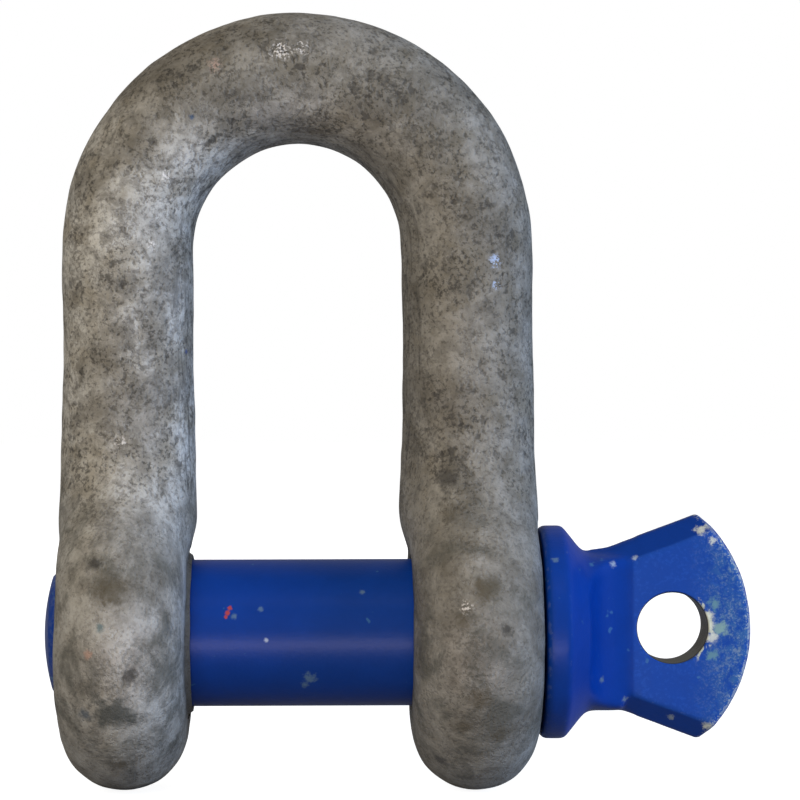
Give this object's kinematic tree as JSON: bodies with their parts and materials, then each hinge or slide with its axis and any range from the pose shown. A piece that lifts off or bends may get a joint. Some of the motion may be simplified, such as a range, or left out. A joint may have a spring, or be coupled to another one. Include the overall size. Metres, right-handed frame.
{
  "type": "shackle",
  "caption": "Dee shackle: a forged round-bar bow with two flat-faced eyes, closed by a right-hand screw pin that has a collar and a flat drilled lug.",
  "frame": {"origin": "on the pin's axis, midway between the faces of the two eyes", "axes": "+X along the pin towards its lug, +Z from the pin up to the crown of the bow, +Y across the eyes"},
  "size_m": [0.1346, 0.06, 0.1488],
  "materials": {
    "galvanised_steel": "weathered hot-dip galvanised forging, matt grey with brown stains and dark specks",
    "blue_paint": "semi-gloss royal blue paint, worn to bare metal on the lug's edges"
  },
  "bodies": {
    "bow": {"bow_body": "galvanised_steel"},
    "lip": {"eye_lip": "galvanised_steel"},
    "pin": {"screw_pin": "blue_paint"}
  },
  "joints": [
    {"name": "pin_turn", "type": "hinge", "parent": "bow", "child": "lip", "pos_m": [0, 0, 0], "axis": [1, 0, 0], "range_deg": [0, 11970]},
    {"name": "pin_advance", "type": "slide", "parent": "lip", "child": "pin", "axis": [1, 0, 0], "range_m": [0, 0.09975]}
  ],
  "couplings": [
    {"joint": "pin_advance", "follows": "pin_turn", "m_per_rad": 0.00047746}
  ]
}
